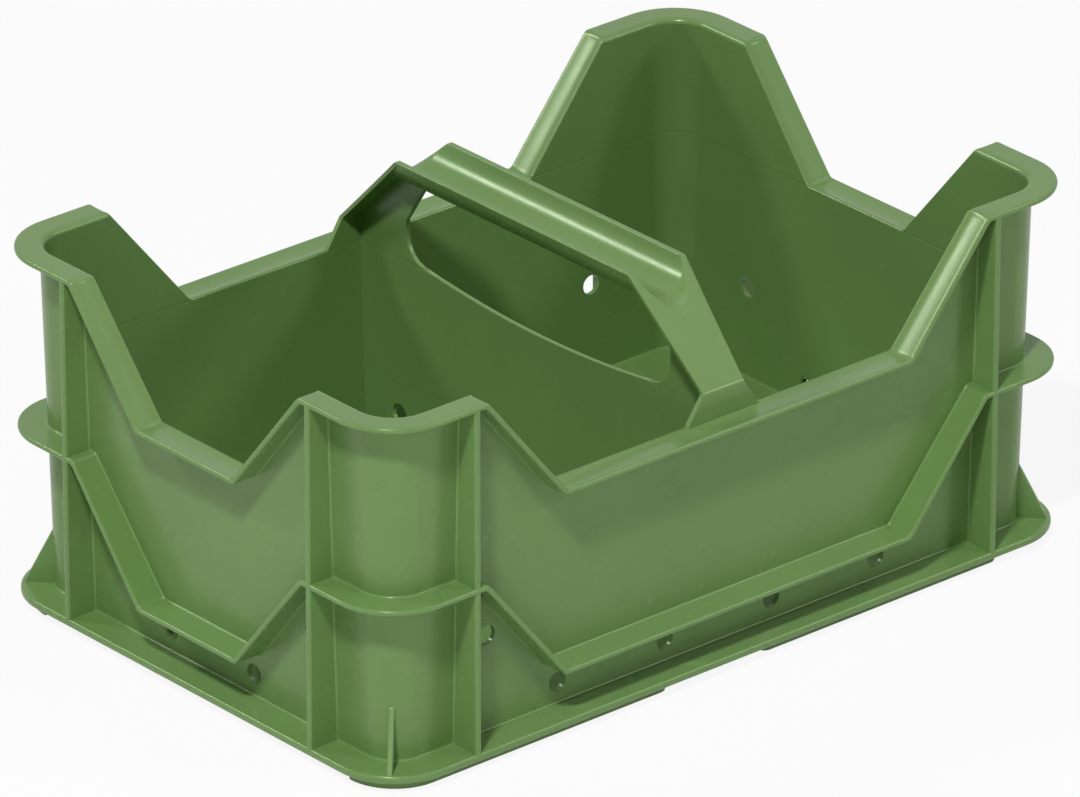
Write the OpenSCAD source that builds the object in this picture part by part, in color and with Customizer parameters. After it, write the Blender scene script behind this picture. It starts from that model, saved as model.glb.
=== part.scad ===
// Harvest tub: a stackable two-compartment plastic tub with a fixed carrying handle.
// Millimetres, +Z up. X runs along the length and Y across it.
// The origin is on the ground, under the middle of the tub.

/* [Tub] */
// Length over the flanges
tub_l = 500; // [440:1:600]
// Width over the flanges
tub_w = 333; // [300:1:420]
// Height of the raised rim above the ground
tub_h = 214.4; // [190:0.1:260]
// Corner radius of the flanges in plan
corner_r = 38; // [35:1:55]

/* [Walls] */
// Wall thickness
wall_t = 3; // [2:0.1:4]
// Distance from the flange edge in to the wall at the rim
wall_inset_rim = 13.6; // [11:0.1:17]
// Distance from the flange edge in to the wall at the base
wall_inset_base = 18.8; // [17:0.1:22]

/* [Rim and belt flanges] */
// Thickness of the rim and of the belt below it
flange_t = 3.2; // [2.5:0.1:4.5]
// Drop from the raised corners to the low middle of each side
rim_drop = 68; // [50:1:75]
// Distance from the rim down to the belt
belt_drop = 106.2; // [95:0.1:115]
// End of the tub to the top of the slope on the long sides
long_slope_top = 72; // [68.5:0.5:80]
// End of the tub to the foot of the slope on the long sides
long_slope_foot = 127; // [115:0.5:150]
// Side of the tub to the top of the slope on the short sides
short_slope_top = 71.5; // [68.5:0.5:78]
// Side of the tub to the foot of the slope on the short sides
short_slope_foot = 127; // [110:0.5:130]
// Width of the chamfer inside the raised corners
lead_w = 3; // [2:0.1:6]

/* [Base] */
// Height of the foot runners
foot_h = 6; // [3:0.5:10]
// Width of the foot runners
foot_w = 10; // [6:0.5:14]
// Distance from the flange edge in to the foot runners
foot_inset = 6.2; // [3:0.1:9]
// Middle of a long side to the runner that turns round the left corner
bent_foot_start = 46; // [20:0.5:80]
// Middle of a long side to the straight runner on its right
straight_foot_start = 22; // [10:0.5:60]
// Length of the straight runner
straight_foot_l = 173; // [100:1:180]
// Thickness of the base flange
base_t = 4.5; // [3:0.1:6]
// Ledge of the base flange that the floor lies on
ledge_w = 9; // [4:0.5:11]
// Thickness of the floor
floor_t = 3; // [2:0.1:5]

/* [Ribs and gussets] */
// Thickness of a rib
rib_t = 4; // [2:0.1:6]
// Distance from the end of a side to its ribs
rib_end = 64.4; // [58:0.1:70]
// Thickness of a corner gusset
gusset_t = 3; // [2:0.1:5]
// Height of a corner gusset
gusset_h = 32; // [20:1:60]
// Flange left free outside a corner gusset
gusset_edge = 2; // [1:0.1:6]

/* [Drain and vent holes] */
// Diameter of the drain holes
drain_d = 11.6; // [6:0.1:16]
// Height of the drain holes above the base flange
drain_rise = 13; // [11:0.1:18]
// Spacing of the four drain holes of a long side
long_drain_pitch = 76.6; // [60:0.1:90]
// Spacing of the two drain holes of a short side
short_drain_pitch = 70; // [50:0.1:90]
// Diameter of the vent holes beside the ribs
vent_d = 11.6; // [6:0.1:16]
// Height of the vent holes above the base flange
vent_rise = 57.5; // [40:0.5:65]
// End of the tub to the vent holes of a long side
long_vent_end = 84.5; // [80:0.5:100]
// Side of the tub to the vent holes of a short side
short_vent_end = 81; // [80:0.1:95]

/* [Partition] */
// Thickness of the partition
web_t = 3; // [2:0.1:5]
// Diameter of the two holes in the partition
web_hole_d = 11.5; // [6:0.1:16]
// Height of the partition holes above the base flange
web_hole_rise = 40.2; // [25:0.1:60]
// Distance from the wall in to the partition holes
web_hole_in = 29.5; // [20:0.5:60]
// Partition left between the wall and the hand hole
hand_side = 38.9; // [32:0.1:50]
// Radius of the lower corners of the hand hole
hand_r = 16; // [8:0.5:22]
// Height of the hand hole where its sides start to lean in
hand_shoulder = 24.5; // [23:0.5:34]
// Lean of the hand hole's sides from there to the grip
hand_lean = 17.5; // [8:0.5:24]

/* [Handle] */
// Height of the grip's lips above the raised rim
grip_rise = 1.9; // [0:0.1:12]
// Outer radius of the grip's gutter
grip_r = 20.6; // [18:0.1:25]
// Thickness of the grip's lips
lip_t = 3.5; // [2.5:0.1:5]
// Depth of the gutter below its lips
trough_h = 14.3; // [8:0.1:16]
// Centre of the gutter's arc above its lips
grip_centre_up = 2.2; // [1:0.1:6]
// Thickness of a leg
leg_t = 2.3; // [1.5:0.1:5]
// Sideways run of a leg from its foot to the lips
leg_spread_w = 55.3; // [45:0.1:62]
// Width of a leg at its foot
leg_foot_w = 29; // [22:0.5:36]
// Width of a leg at its waist, just below the gutter
leg_waist_w = 36.6; // [30:0.1:40]
// Depth of the waist below the lips
leg_waist_drop = 19; // [14:0.5:24]
// Height of a tab from the low rim to the foot of the leg
tab_h = 16.3; // [10:0.1:24]
// Width of a tab on the low rim
tab_w = 52; // [40:0.5:70]

/* [Hidden] */
$fn = 96;
tub_green = "#6f8c52";
overrun = 4;
lead_depth_share = 0.9;
lead_over_share = 0.5;

SIDES = ["front", "right", "back", "left"];
CORNERS = ["front_right", "back_right", "back_left", "front_left"];
ENDS = ["front", "back"];
HANDS = ["left", "right"];
LEVELS = ["low", "high"];

// Heights above the ground
base_z = foot_h + base_t;
low_rim_z = tub_h - rim_drop;
belt_z = tub_h - belt_drop;
lip_z = tub_h + grip_rise;
grip_centre_z = lip_z + grip_centre_up;
leg_foot_z = low_rim_z + tab_h;
lead_h = flange_t * lead_depth_share;
wall_draft_share = (wall_inset_rim - wall_inset_base) / (tub_h - base_z);

// Distances in from the flange edge to the two faces of the wall, at height z
function wall_out(z) = wall_inset_base + (z - base_z) * wall_draft_share;
function wall_in(z) = wall_out(z) + wall_t;

// Half the length of a side, half the tub across it, and the ends of its slopes
function is_long(side) = side % 2 == 0;
function half_run(side) = (is_long(side) ? tub_l : tub_w) / 2;
function half_reach(side) = (is_long(side) ? tub_w : tub_l) / 2;
function straight_run(side) = half_run(side) - corner_r;
function slope_top(side) = half_run(side) - (is_long(side) ? long_slope_top : short_slope_top);
function slope_foot(side) = half_run(side) - (is_long(side) ? long_slope_foot : short_slope_foot);

// How far the underside of a flange shifts its bends, so that it is as thick on the slopes
function bend_shift(side) =
    flange_t * tan(atan2(rim_drop, slope_top(side) - slope_foot(side)) / 2);

// The saddle line of a side, from its right end to its left one
function saddle(side, high, shift) =
    let (end = straight_run(side), top = slope_top(side) + shift, foot = slope_foot(side) + shift)
    [[end, high], [top, high], [foot, high - rim_drop],
     [-foot, high - rim_drop], [-top, high], [-end, high]];
function upper_line(side, high) = saddle(side, high, 0);
function under_line(side, high) = saddle(side, high - flange_t, bend_shift(side));
function flipped(line) = [for (i = [len(line) - 1 : -1 : 0]) line[i]];

// A section of (distance in from the flange edge, height), drawn along a side
module along_side(side, half_length, section) {
    rotate([0, 0, side * 90])
        translate([0, -half_reach(side), 0])
            rotate([90, 0, 90])
                linear_extrude(height = 2 * half_length, center = true) polygon(section);
}

// An outline of (place along the side, height), pushed through the side's walls and flanges
module through_side(side, outline) {
    depth = wall_in(0) + overrun;
    rotate([0, 0, side * 90])
        translate([0, depth - half_reach(side), 0])
            rotate([90, 0, 0]) linear_extrude(height = depth + overrun) polygon(outline);
}

// Section from the flange edge to the inner face of the wall
function rim_section(low, high) =
    [[0, low], [0, high], [wall_in(high), high], [wall_in(low), low]];

// Section from the flange edge to the outer face of the wall
function skirt_section(low, high) =
    [[0, low], [0, high], [wall_out(high), high], [wall_out(low), low]];

function wall_section(low, high) =
    [[wall_out(low), low], [wall_out(high), high], [wall_in(high), high], [wall_in(low), low]];

// Chamfer that leads a stacked tub's feet in, as a triangle that is cut away
lead_top = [wall_in(tub_h) - lead_w, tub_h];
lead_foot = [wall_in(tub_h - lead_h), tub_h - lead_h];
lead_over = (lead_foot - lead_top) * lead_over_share;
lead_section = [lead_top - lead_over, lead_foot + lead_over,
                [(lead_foot + lead_over)[0], (lead_top - lead_over)[1]]];

// The four corners, counted from the front right, are quarter turns about these centres
function corner_centre(corner) =
    [(corner < 2 ? 1 : -1) * (tub_l / 2 - corner_r),
     (corner % 3 == 0 ? -1 : 1) * (tub_w / 2 - corner_r), 0];

// A section of (distance in from the flange edge, height), turned round a corner
module round_corner(corner, section) {
    translate(corner_centre(corner))
        rotate([0, 0, (corner - 1) * 90])
            rotate_extrude(angle = 90)
                polygon([for (point = section) [corner_r - point[0], point[1]]]);
}

// A rounded plan outline, inset from the flange edge
module plan(inset) {
    r = corner_r - inset;
    square([tub_l - 2 * inset, tub_w - 2 * corner_r], center = true);
    square([tub_l - 2 * corner_r, tub_w - 2 * inset], center = true);
    for (corner = [0 : 3])
        translate(corner_centre(corner)) circle(r = r);
}

// Base

module base_flange() {
    color(tub_green)
        translate([0, 0, foot_h])
            linear_extrude(height = base_t)
                difference() {
                    plan(0);
                    plan(wall_in(base_z) + ledge_w);
                }
}

module floor_plate() {
    color(tub_green)
        translate([0, 0, base_z]) linear_extrude(height = floor_t) plan(wall_in(base_z));
}

// The runners of the front side, with rounded ends
foot_end_r = foot_w / 2;
foot_middle = foot_inset + foot_end_r - tub_w / 2;

module straight_foot() {
    first = straight_foot_start + foot_end_r;
    span = straight_foot_l - foot_w;
    linear_extrude(height = foot_h) {
        translate([first, foot_middle - foot_end_r]) square([span, foot_w]);
        for (x = [first, first + span])
            translate([x, foot_middle]) circle(r = foot_end_r);
    }
}

// This one follows the long side to the left and turns with the corner
module bent_foot() {
    first = bent_foot_start + foot_end_r;
    linear_extrude(height = foot_h) {
        intersection() {
            difference() {
                plan(foot_inset);
                plan(foot_inset + foot_w);
            }
            translate([-tub_l / 2, -tub_w / 2]) square([tub_l / 2 - first, corner_r]);
        }
        translate([-first, foot_middle]) circle(r = foot_end_r);
    }
}

module front_foot(at_right) {
    if (at_right) straight_foot();
    else bent_foot();
}

module foot(corner) {
    color(tub_green)
        if (corner % 3 == 0) front_foot(corner < 2);
        else mirror([0, 1, 0]) front_foot(corner < 2);
}

// Walls

// Through holes of one side, at a height above the base flange
module wall_holes(side, places, rise, d) {
    rotate([0, 0, side * 90])
        for (place = places)
            translate([place, -half_reach(side), base_z + rise])
                rotate([-90, 0, 0]) cylinder(d = d, h = wall_in(0) + overrun);
}

module wall(side) {
    end = straight_run(side);
    drains = is_long(side)
        ? [for (i = [-3 : 2 : 3]) i * long_drain_pitch / 2]
        : [for (i = [-1 : 2 : 1]) i * short_drain_pitch / 2];
    vent = half_run(side) - (is_long(side) ? long_vent_end : short_vent_end);
    color(tub_green)
        difference() {
            intersection() {
                along_side(side, end, wall_section(base_z, tub_h));
                through_side(side, concat([[-end, base_z], [end, base_z]],
                                          under_line(side, tub_h)));
            }
            wall_holes(side, drains, drain_rise, drain_d);
            wall_holes(side, [-vent, vent], vent_rise, vent_d);
        }
}

module corner_post(corner) {
    color(tub_green) round_corner(corner, wall_section(base_z, tub_h - flange_t));
}

// Rim and belt

module rim(side) {
    end = straight_run(side);
    raised = end - slope_top(side) + overrun;
    color(tub_green)
        difference() {
            intersection() {
                along_side(side, end, rim_section(base_z, tub_h + overrun));
                through_side(side, concat(upper_line(side, tub_h),
                                          flipped(under_line(side, tub_h))));
            }
            for (hand = [-1, 1])
                rotate([0, 0, side * 90])
                    translate([hand * (slope_top(side) + raised / 2), 0, 0])
                        rotate([0, 0, -side * 90])
                            along_side(side, raised / 2, lead_section);
        }
}

module rim_corner(corner) {
    under = tub_h - flange_t;
    color(tub_green)
        round_corner(corner, [[0, under], [0, tub_h], lead_top, lead_foot, [wall_in(under), under]]);
}

module belt(side) {
    color(tub_green)
        intersection() {
            along_side(side, straight_run(side), skirt_section(base_z, tub_h));
            through_side(side, concat(upper_line(side, belt_z), flipped(under_line(side, belt_z))));
        }
}

module belt_corner(corner) {
    color(tub_green) round_corner(corner, skirt_section(belt_z - flange_t, belt_z));
}

// Ribs and gussets

// A rib fills the flange depth from the base to the belt, or from the belt to the rim
module rib(side, hand, level) {
    place = (hand == 0 ? -1 : 1) * (half_run(side) - rib_end);
    end = straight_run(side);
    below = level == 0 ? [[end, base_z], [-end, base_z]] : upper_line(side, belt_z);
    above = under_line(side, level == 0 ? belt_z : tub_h);
    color(tub_green)
        intersection() {
            rotate([0, 0, side * 90])
                translate([place, 0, 0])
                    rotate([0, 0, -side * 90])
                        along_side(side, rib_t / 2, skirt_section(base_z, tub_h));
            through_side(side, concat(below, flipped(above)));
        }
}

module gusset(corner) {
    top = base_z + gusset_h;
    root = corner_r - wall_in(base_z);
    blade = [[root, base_z], [corner_r - gusset_edge, base_z],
             [corner_r - wall_out(top), top], [root, top]];
    core = [[0, base_z - overrun], [corner_r - wall_out(base_z - overrun), base_z - overrun],
            [corner_r - wall_out(top + overrun), top + overrun], [0, top + overrun]];
    color(tub_green)
        translate(corner_centre(corner))
            difference() {
                rotate([90, 0, corner * 90 - 45])
                    linear_extrude(height = gusset_t, center = true) polygon(blade);
                rotate_extrude() polygon(core);
            }
}

// Handle, in sections of (distance across the tub from its middle, height)

function tab_outer(z) = tub_w / 2 - wall_out(z);
function tab_inner(z) = tub_w / 2 - wall_in(z);

// Outer face of a leg: from the lips down to the top of the tab
grip_half_l = tab_outer(leg_foot_z) - leg_spread_w;
leg_lean_share = leg_spread_w / (lip_z - leg_foot_z);
leg_inset = leg_t * sqrt(1 + pow(leg_lean_share, 2));
function leg_outer(z) = grip_half_l + (lip_z - z) * leg_lean_share;
function leg_inner(z) = leg_outer(z) - leg_inset;

// Height at which the inner face of a leg meets the inner face of its tab
leg_inner_foot_z =
    lip_z - (tab_inner(lip_z) - grip_half_l + leg_inset) / (leg_lean_share - wall_draft_share);
grip_under_z = grip_centre_z - grip_r;
lip_half_w = sqrt(pow(grip_r, 2) - pow(grip_centre_up, 2));

// The gutter's own arc, shallower than the outer one
trough_half_w = lip_half_w - lip_t;
trough_r = (pow(trough_half_w, 2) + pow(trough_h, 2)) / (2 * trough_h);
trough_centre_z = lip_z - trough_h + trough_r;

// A section of (distance across, height), drawn along the tub's length
module across_tub(half_length, section) {
    rotate([90, 0, 90]) linear_extrude(height = 2 * half_length, center = true) polygon(section);
}

// An outline of (place along the tub, height), pushed across the whole tub
module through_tub(outline) {
    rotate([90, 0, 0]) linear_extrude(height = tub_w, center = true) polygon(outline);
}

// A round bar across the tub, at the height of its middle
module cross_bar(r, middle_z) {
    translate([0, 0, middle_z])
        rotate([90, 0, 0]) cylinder(r = r, h = tub_w, center = true);
}

module trough() {
    cross_bar(trough_r, trough_centre_z);
}

function mirrored(points) = concat(points, [for (p = flipped(points)) [-p[0], p[1]]]);

module grip() {
    under = grip_under_z - overrun;
    color(tub_green)
        difference() {
            intersection() {
                cross_bar(grip_r, grip_centre_z);
                across_tub(tub_l / 2, mirrored([[leg_inner(under), under], [leg_inner(lip_z), lip_z]]));
            }
            trough();
        }
}

// Half outline of a leg and its tab, from the low rim to the lips
leg_edge = [[tab_w / 2, low_rim_z],
            [leg_foot_w / 2, min(leg_foot_z, leg_inner_foot_z)],
            [leg_foot_w / 2, max(leg_foot_z, leg_inner_foot_z)],
            [leg_waist_w / 2, lip_z - leg_waist_drop],
            [lip_half_w, lip_z]];

module leg(end) {
    color(tub_green)
        rotate([0, 0, 180 * (1 - end)])
            difference() {
                intersection() {
                    across_tub(tub_l / 2,
                               [[leg_outer(lip_z), lip_z], [tab_outer(leg_foot_z), leg_foot_z],
                                [tab_inner(leg_inner_foot_z), leg_inner_foot_z],
                                [leg_inner(lip_z), lip_z]]);
                    through_tub(mirrored(leg_edge));
                }
                trough();
            }
}

module tab(end) {
    color(tub_green)
        rotate([0, 0, 180 * (1 - end)])
            intersection() {
                across_tub(tub_l / 2,
                           [[tab_outer(low_rim_z), low_rim_z], [tab_outer(leg_foot_z), leg_foot_z],
                            [tab_inner(leg_inner_foot_z), leg_inner_foot_z],
                            [tab_inner(low_rim_z), low_rim_z]]);
                through_tub(mirrored(leg_edge));
            }
}

// The hand hole rests on the low rim's level and reaches up to the grip
module hand_hole() {
    half = tab_inner(low_rim_z) - hand_side;
    top = half - hand_lean;
    round_z = low_rim_z + hand_r;
    polygon(mirrored([[half - hand_r, low_rim_z], [half - hand_r, round_z], [half, round_z],
                      [half, low_rim_z + hand_shoulder], [top, grip_under_z], [top, lip_z]]));
    for (side = [-1, 1])
        translate([side * (half - hand_r), round_z]) circle(r = hand_r);
}

module partition() {
    floor_z = base_z + floor_t;
    hole_z = base_z + web_hole_rise;
    outline = mirrored([[tab_inner(floor_z), floor_z],
                        [tab_inner(leg_inner_foot_z), leg_inner_foot_z],
                        [leg_inner(lip_z), lip_z]]);
    color(tub_green)
        difference() {
            rotate([90, 0, 90])
                linear_extrude(height = web_t, center = true)
                    difference() {
                        polygon(outline);
                        hand_hole();
                        for (side = [-1, 1])
                            translate([side * (tab_inner(hole_z) - web_hole_in), hole_z])
                                circle(d = web_hole_d);
                    }
            cross_bar(grip_r, grip_centre_z);
        }
}

base_flange();
floor_plate();  // floor
partition();
grip();
for (i = [0 : 3]) {
    wall(i);
    rim(i);
    belt(i);
    corner_post(i);
    rim_corner(i);
    belt_corner(i);
    gusset(i);
    foot(i);
}
for (i = [0 : 3], hand = [0, 1], level = [0, 1])
    rib(i, hand, level);
for (end = [0, 1]) {
    leg(end);
    tab(end);
}
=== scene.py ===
"""Looks of the harvest tub: a moulded plastic tub, its handle and the studio it stands in.

Every piece is built in metres in the part's own frame: X along the tub, Y across it, Z up.
"""

import math

import bmesh
import bpy
from mathutils import Matrix, Vector


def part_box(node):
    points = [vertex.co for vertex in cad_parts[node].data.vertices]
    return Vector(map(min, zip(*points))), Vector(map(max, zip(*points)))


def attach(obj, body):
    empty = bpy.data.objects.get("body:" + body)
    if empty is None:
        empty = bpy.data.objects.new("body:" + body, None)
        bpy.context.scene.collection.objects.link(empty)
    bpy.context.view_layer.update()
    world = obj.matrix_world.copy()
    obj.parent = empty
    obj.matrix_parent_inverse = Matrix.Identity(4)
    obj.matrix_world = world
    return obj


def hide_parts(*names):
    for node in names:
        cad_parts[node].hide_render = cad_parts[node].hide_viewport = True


bl_info = {
    "name": "Harvest tub",
    "version": (1, 0, 0),
    "blender": (4, 5, 0),
    "location": "View3D > Sidebar > Tub",
    "description": "Builds the moulded looks of a two-compartment harvest tub and its studio",
    "category": "Object",
}

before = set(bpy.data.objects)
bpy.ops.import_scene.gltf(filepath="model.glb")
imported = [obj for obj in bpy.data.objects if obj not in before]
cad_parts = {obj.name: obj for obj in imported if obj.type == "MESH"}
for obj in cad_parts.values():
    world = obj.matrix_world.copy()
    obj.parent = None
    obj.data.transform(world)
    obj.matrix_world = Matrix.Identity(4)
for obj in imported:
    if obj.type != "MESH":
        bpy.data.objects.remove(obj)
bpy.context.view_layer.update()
MM = 0.001
BODY = "root"

# Boxes of the frame's nodes
BASE_LOW, BASE_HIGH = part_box("base_flange")
FLOOR_LOW, FLOOR_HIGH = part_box("floor")
RIM_LOW, RIM_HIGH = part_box("rim_corner_front_right")
BELT_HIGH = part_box("belt_corner_front_right")[1]
RIB_LOW, RIB_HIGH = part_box("rib_front_right_low")
END_RIB_LOW, END_RIB_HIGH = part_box("rib_right_right_low")
UPPER_RIB_LOW, UPPER_RIB_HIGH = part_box("rib_front_right_high")
WALL_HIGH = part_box("wall_front")[1]
FOOT_LOW, FOOT_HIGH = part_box("foot_front_right")
BENT_FOOT_LOW, BENT_FOOT_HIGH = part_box("foot_front_left")
GUSSET_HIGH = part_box("gusset_front_right")[1]
WEB_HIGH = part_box("partition")[1]
GRIP_LOW, GRIP_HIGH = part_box("grip")
TAB_LOW, TAB_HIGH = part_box("tab_back")

# Sizes that follow from them
HALF_L = BASE_HIGH.x
HALF_W = BASE_HIGH.y
CORNER_R = RIM_HIGH.x - RIM_LOW.x
BASE_TOP = BASE_HIGH.z
RIM_TOP = RIM_HIGH.z
LOW_RIM = TAB_LOW.z
RIM_DROP = RIM_TOP - LOW_RIM
BELT_TOP = BELT_HIGH.z
FLANGE_T = RIM_HIGH.z - RIM_LOW.z
INSET_BASE = RIB_HIGH.y - RIB_LOW.y
INSET_BELT = UPPER_RIB_HIGH.y - UPPER_RIB_LOW.y
DRAFT = (INSET_BASE - INSET_BELT) / (BELT_TOP - BASE_TOP)
WALL_T = HALF_W - INSET_BASE + WALL_HIGH.y
LONG_RIB = (RIB_LOW.x + RIB_HIGH.x) / 2
SHORT_RIB = (END_RIB_LOW.y + END_RIB_HIGH.y) / 2
RIB_HALF_T = (RIB_HIGH.x - RIB_LOW.x) / 2
LIP_Z = GRIP_HIGH.z
LIP_HALF_W = GRIP_HIGH.x
GRIP_DEPTH = LIP_Z - GRIP_LOW.z

# Holes: how many drain holes a side has, and the plain face left round each hole
LONG_DRAINS = 4
SHORT_DRAINS = 2
HOLE_MARGIN = 2.5 * MM

# Where the sink mark across the rim is deepest, from the inner edge out
SINK_SHARE = 1 / 3

# How far ribs and gussets stay inside the flange edges, and how deep pieces sink into their neighbours
RIB_INSET = 0.15 * MM
GUSSET_INSET = 2 * MM
ROOT_OVERLAP = 1 * MM
WEB_OVERLAP = 0.8 * MM

# Gussets: half their thickness, and the rounding of their edges as a share of the flanges'
GUSSET_HALF_T = 1.5 * MM
GUSSET_EDGE_SHARE = 0.8

# Handle: drop of the inner bend at a leg's foot, how far the leg's edges round off, where the rounding
# of a lip and the curve of the gutter begin, and how wide the grip bends at its lips and in its gutter
LEG_FOOT_DROP = 0.3 * MM
LEG_EDGE_SHARE = 1.2
LIP_START_ANGLE = 200
GUTTER_START_SHARE = 1.5
LIP_BEND_SHARE = 0.1
GUTTER_BEND_SHARE = 0.6

# Fineness of the meshes
TINY = 1e-6
LEAST_GAP = 1e-5
EDGE_STEPS = 3
LEAD_STEPS = 4
SINK_STEPS = 9
FLOOR_STEPS = 5
BEND_STEPS = 8
CORNER_STEPS = 14
RUNNER_END_STEPS = 10
HOLE_SIDES = 28
HAND_BOW_STEPS = 8
HAND_CORNER_STEPS = 10
BOWL_STEPS = 20
PATH_STEPS = 5

# Angles between faces, in degrees, past which an edge counts as sharp
SHADED_ANGLE = 38
GUSSET_ANGLE = 20
SQUARE_ANGLE = 60


class TubShape(bpy.types.PropertyGroup):
    """Sizes of the moulding that the frame's boxes don't give."""

    long_slope_top: bpy.props.FloatProperty(
        name="Long slope top", description="End of the tub to the top of a long side's slope",
        default=72 * MM, unit="LENGTH")
    short_slope_top: bpy.props.FloatProperty(
        name="Short slope top", description="Side of the tub to the top of a short side's slope",
        default=71.5 * MM, unit="LENGTH")
    slope_foot: bpy.props.FloatProperty(
        name="Slope foot", description="End of a side to the foot of its slope",
        default=127 * MM, unit="LENGTH")
    bend_round: bpy.props.FloatProperty(
        name="Bend rounding", description="Length over which the rim bends into its slopes",
        default=1.6 * MM, unit="LENGTH")
    lead_w: bpy.props.FloatProperty(
        name="Lead width", description="Width of the rounding inside the raised corners",
        default=3 * MM, unit="LENGTH")
    lead_h: bpy.props.FloatProperty(
        name="Lead depth", description="Depth of that rounding",
        default=3.3 * MM, unit="LENGTH")
    rim_sink: bpy.props.FloatProperty(
        name="Rim sink", description="Depth of the sink mark along the rim's upper face",
        default=1.1 * MM, unit="LENGTH")
    edge_round: bpy.props.FloatProperty(
        name="Edge rounding", description="Radius of the flanges' outer edges",
        default=1.2 * MM, unit="LENGTH")
    fillet: bpy.props.FloatProperty(
        name="Fillet", description="Radius where flanges and ribs grow out of the wall",
        default=1.3 * MM, unit="LENGTH")
    floor_fillet: bpy.props.FloatProperty(
        name="Floor fillet", description="Radius between the walls and the floor inside",
        default=1.2 * MM, unit="LENGTH")
    ledge: bpy.props.FloatProperty(
        name="Ledge", description="Width of the base flange under the floor",
        default=9 * MM, unit="LENGTH")
    drain_d: bpy.props.FloatProperty(
        name="Drain hole", description="Diameter of the drain holes",
        default=11.6 * MM, unit="LENGTH")
    drain_rise: bpy.props.FloatProperty(
        name="Drain height", description="Height of the drain holes above the base flange",
        default=13 * MM, unit="LENGTH")
    long_drain_pitch: bpy.props.FloatProperty(
        name="Long drain pitch", description="Spacing of a long side's drain holes",
        default=76.6 * MM, unit="LENGTH")
    short_drain_pitch: bpy.props.FloatProperty(
        name="Short drain pitch", description="Spacing of a short side's drain holes",
        default=70 * MM, unit="LENGTH")
    vent_d: bpy.props.FloatProperty(
        name="Vent hole", description="Diameter of the vent holes beside the ribs",
        default=11.6 * MM, unit="LENGTH")
    vent_rise: bpy.props.FloatProperty(
        name="Vent height", description="Height of the vent holes above the base flange",
        default=57.5 * MM, unit="LENGTH")
    long_vent_end: bpy.props.FloatProperty(
        name="Long vent end", description="End of the tub to a long side's vent hole",
        default=84.5 * MM, unit="LENGTH")
    short_vent_end: bpy.props.FloatProperty(
        name="Short vent end", description="Side of the tub to a short side's vent hole",
        default=81 * MM, unit="LENGTH")
    hand_side: bpy.props.FloatProperty(
        name="Hand hole side", description="Partition between the wall and the hand hole",
        default=38.9 * MM, unit="LENGTH")
    hand_r: bpy.props.FloatProperty(
        name="Hand hole corner", description="Radius of the hand hole's lower corners",
        default=16 * MM, unit="LENGTH")
    hand_shoulder: bpy.props.FloatProperty(
        name="Hand hole shoulder", description="Height where the hand hole's sides lean in",
        default=24.5 * MM, unit="LENGTH")
    hand_lean: bpy.props.FloatProperty(
        name="Hand hole lean", description="How far the hand hole's sides lean in at the grip",
        default=17.5 * MM, unit="LENGTH")
    hand_bow: bpy.props.FloatProperty(
        name="Hand hole bow", description="Slope of the hand hole's hanging lower edge at its ends",
        default=math.radians(7.8), subtype="ANGLE")
    web_hole_d: bpy.props.FloatProperty(
        name="Partition hole", description="Diameter of the two holes in the partition",
        default=11.5 * MM, unit="LENGTH")
    web_hole_rise: bpy.props.FloatProperty(
        name="Partition hole height", description="Height of those holes above the base flange",
        default=40.2 * MM, unit="LENGTH")
    web_hole_in: bpy.props.FloatProperty(
        name="Partition hole place", description="Distance of those holes from the wall",
        default=29.5 * MM, unit="LENGTH")
    lip_t: bpy.props.FloatProperty(
        name="Lip thickness", description="Thickness of the grip's two lips",
        default=3.5 * MM, unit="LENGTH")
    lip_round: bpy.props.FloatProperty(
        name="Lip rounding", description="Radius of the edges of the grip's lips",
        default=0.7 * MM, unit="LENGTH")
    grip_bend: bpy.props.FloatProperty(
        name="Grip bend", description="Rounding where the gutter's floor bends into the legs",
        default=12 * MM, unit="LENGTH")
    leg_bend: bpy.props.FloatProperty(
        name="Leg bend", description="Rounding where the legs bend into the tabs",
        default=1.6 * MM, unit="LENGTH")
    trough_depth: bpy.props.FloatProperty(
        name="Trough depth", description="Depth of the grip's gutter below its lips",
        default=14.3 * MM, unit="LENGTH")
    leg_t: bpy.props.FloatProperty(
        name="Leg thickness", description="Thickness of the handle's legs",
        default=2.3 * MM, unit="LENGTH")
    leg_spread: bpy.props.FloatProperty(
        name="Leg spread", description="Sideways run of a leg from its foot to the lips",
        default=55.3 * MM, unit="LENGTH")
    leg_foot_w: bpy.props.FloatProperty(
        name="Leg foot width", description="Width of a leg where it meets its tab",
        default=29 * MM, unit="LENGTH")
    leg_waist_w: bpy.props.FloatProperty(
        name="Leg waist width", description="Width of a leg below the gutter",
        default=35.5 * MM, unit="LENGTH")
    leg_waist_drop: bpy.props.FloatProperty(
        name="Leg waist drop", description="Depth of that waist below the lips",
        default=24 * MM, unit="LENGTH")


class TubFinish(bpy.types.PropertyGroup):
    """Colour and surface of the plastic."""

    plastic: bpy.props.FloatVectorProperty(
        name="Plastic", description="Colour of the plastic", subtype="COLOR",
        size=3, min=0, max=1, default=(0.168, 0.301, 0.093))
    sheen: bpy.props.FloatVectorProperty(
        name="Sheen", description="Tint of the highlights", subtype="COLOR",
        size=3, min=0, max=1, default=(0.84, 1.0, 0.68))
    roughness: bpy.props.FloatProperty(
        name="Roughness", description="Roughness of the moulded surface",
        default=0.26, min=0, max=1, subtype="FACTOR")


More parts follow.
